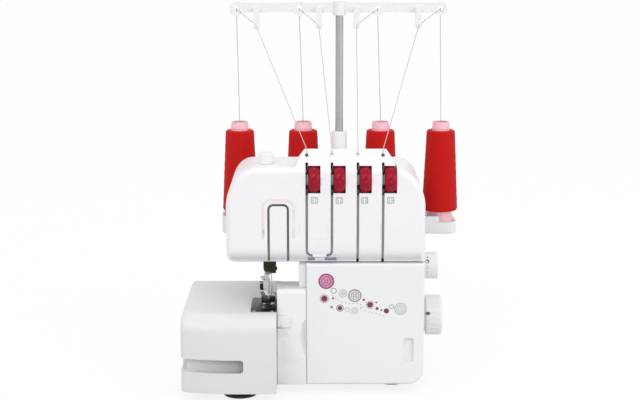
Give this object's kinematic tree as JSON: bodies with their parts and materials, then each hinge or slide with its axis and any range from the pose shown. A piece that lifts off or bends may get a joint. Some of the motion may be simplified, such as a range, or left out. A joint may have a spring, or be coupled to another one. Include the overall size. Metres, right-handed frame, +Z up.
{
  "type": "serger overlock machine",
  "caption": "Portable overlock machine with a free arm, hinged looper cover, thread tension dials, presser foot, hand wheel and a telescopic thread stand behind.",
  "frame": {"origin": "on the table under the feet, below the middle of the machine's outline", "axes": "+X to the machine's right as the user faces it, +Y to its rear, +Z up"},
  "size_m": [0.3684, 0.263, 0.4943],
  "materials": {
    "casing": "satin",
    "light_parts": "satin",
    "dials": "gloss",
    "thread": "wound thread",
    "cone_core": "matt",
    "cushion": "felt",
    "steel": "polished",
    "black_metal": "satin",
    "casting": "painted",
    "rubber": "matt",
    "black_plastic": "satin"
  },
  "bodies": {
    "machine": {"base_plate": "black_metal", "cone_cores": "cone_core", "drive_belt": "rubber", "feet": "rubber", "fixed_bed": "casing", "free_arm_cover": "casing", "front_frame": "casing", "head_cover": "casing", "lower_knife": "steel", "main_frame": "casting", "mast_tube": "light_parts", "motor": "black_metal", "needle_plate": "steel", "pivot_pins": "steel", "power_inlet": "black_plastic", "presser_spring": "steel", "rear_cover": "casing", "spool_cushions": "cushion", "spool_stand": "light_parts", "switch_housing": "black_plastic", "tension_discs": "steel", "tension_frame": "steel", "tension_spindles": "steel", "thread_1": "thread", "thread_2": "thread", "thread_3": "thread", "thread_4": "thread", "thread_cones": "thread"},
    "shaft": {"main_shaft": "steel", "handwheel": "light_parts", "shaft_pulley": "casting"},
    "motor_spindle": {"motor_pulley": "black_metal"},
    "slide_on_bed": {"flat_bed": "casing"},
    "cover_rod": {"cover_hinge_rod": "steel"},
    "front_cover": {"looper_cover": "casing"},
    "needle_drive": {"needle_bar": "steel", "needle_clamp": "black_metal", "needles": "steel"},
    "lifter": {"presser_lifter": "steel"},
    "presser": {"presser_bar": "steel", "foot_holder": "black_metal", "presser_foot": "black_metal", "foot_pin": "steel"},
    "dial_1": {"tension_dial_1": "dials"},
    "dial_2": {"tension_dial_2": "dials"},
    "dial_3": {"tension_dial_3": "dials"},
    "dial_4": {"tension_dial_4": "dials"},
    "pressure_screw": {"pressure_knob": "light_parts"},
    "stitch_dial": {"stitch_length_dial": "light_parts"},
    "mast": {"mast_rod": "steel", "thread_bar": "light_parts"},
    "lower_looper_arm": {"lower_looper": "steel"},
    "upper_looper_arm": {"upper_looper": "steel"},
    "knife_drive": {"upper_knife": "steel", "knife_carrier": "steel"},
    "feed": {"feed_dogs": "steel"},
    "rocker": {"power_switch": "black_plastic"},
    "stitch_finger": {"finger_lever": "casing"}
  },
  "joints": [
    {"name": "handwheel_spin", "type": "hinge", "parent": "machine", "child": "shaft", "pos_m": [0.129, -0.0135, 0.083], "axis": [1, 0, 0], "continuous": true},
    {"name": "motor_spin", "type": "hinge", "parent": "machine", "child": "motor_spindle", "pos_m": [0.09, 0.012, 0.042], "axis": [1, 0, 0], "continuous": true},
    {"name": "flat_bed_slide", "type": "slide", "parent": "machine", "child": "slide_on_bed", "axis": [-1, 0, 0], "range_m": [0, 0.1]},
    {"name": "cover_slide", "type": "slide", "parent": "machine", "child": "cover_rod", "axis": [1, 0, 0], "range_m": [0, 0.008]},
    {"name": "cover_hinge", "type": "hinge", "parent": "cover_rod", "child": "front_cover", "pos_m": [0.04, -0.087, 0.0165], "axis": [1, 0, 0], "range_deg": [0, 90]},
    {"name": "needle_bar_stroke", "type": "slide", "parent": "machine", "child": "needle_drive", "axis": [0, 0, 1], "range_m": [-0.027, 0]},
    {"name": "presser_lifter_turn", "type": "hinge", "parent": "machine", "child": "lifter", "pos_m": [-0.0765, -0.024, 0.186], "axis": [1, 0, 0], "range_deg": [0, 40]},
    {"name": "presser_bar_lift", "type": "slide", "parent": "machine", "child": "presser", "axis": [0, 0, 1], "range_m": [0, 0.006], "deforming": ["presser_spring"]},
    {"name": "tension_dial_1_turn", "type": "hinge", "parent": "machine", "child": "dial_1", "pos_m": [-0.0142, -0.08, 0.2795], "axis": [1, 0, 0], "range_deg": [-150, 150]},
    {"name": "tension_dial_2_turn", "type": "hinge", "parent": "machine", "child": "dial_2", "pos_m": [0.0176, -0.08, 0.2795], "axis": [1, 0, 0], "range_deg": [-150, 150]},
    {"name": "tension_dial_3_turn", "type": "hinge", "parent": "machine", "child": "dial_3", "pos_m": [0.0504, -0.08, 0.2795], "axis": [1, 0, 0], "range_deg": [-150, 150]},
    {"name": "tension_dial_4_turn", "type": "hinge", "parent": "machine", "child": "dial_4", "pos_m": [0.0822, -0.08, 0.2795], "axis": [1, 0, 0], "range_deg": [-150, 150]},
    {"name": "pressure_knob_turn", "type": "hinge", "parent": "machine", "child": "pressure_screw", "pos_m": [-0.0765, -0.056, 0.3], "axis": [0, 0, 1], "range_deg": [-180, 180]},
    {"name": "stitch_length_turn", "type": "hinge", "parent": "machine", "child": "stitch_dial", "pos_m": [0.138, -0.036, 0.1565], "axis": [1, 0, 0], "range_deg": [-140, 140]},
    {"name": "thread_mast_slide", "type": "slide", "parent": "machine", "child": "mast", "axis": [0, 0, 1], "range_m": [-0.125, 0], "deforming": ["thread_1", "thread_2", "thread_3", "thread_4"]},
    {"name": "lower_looper_swing", "type": "hinge", "parent": "machine", "child": "lower_looper_arm", "pos_m": [-0.015, -0.068, 0.045], "axis": [0, 1, 0], "range_deg": [-8, 8]},
    {"name": "upper_looper_swing", "type": "hinge", "parent": "machine", "child": "upper_looper_arm", "pos_m": [0.012, -0.077, 0.064], "axis": [0, 1, 0], "range_deg": [-6, 6]},
    {"name": "upper_knife_stroke", "type": "slide", "parent": "machine", "child": "knife_drive", "axis": [0, 0, 1], "range_m": [-0.008, 0]},
    {"name": "feed_stroke", "type": "slide", "parent": "machine", "child": "feed", "axis": [0, 1, 0], "range_m": [-0.003, 0.003]},
    {"name": "power_switch_rock", "type": "hinge", "parent": "machine", "child": "rocker", "pos_m": [0.1205, 0.028, 0.066], "axis": [0, 1, 0], "range_deg": [-8, 8]},
    {"name": "stitch_finger_slide", "type": "slide", "parent": "machine", "child": "stitch_finger", "axis": [1, 0, 0], "range_m": [0, 0.004]}
  ],
  "couplings": [
    {"joint": "motor_spin", "follows": "handwheel_spin", "ratio": 3},
    {"joint": "presser_lifter_turn", "follows": "presser_bar_lift", "rad_per_m": 116.3}
  ]
}
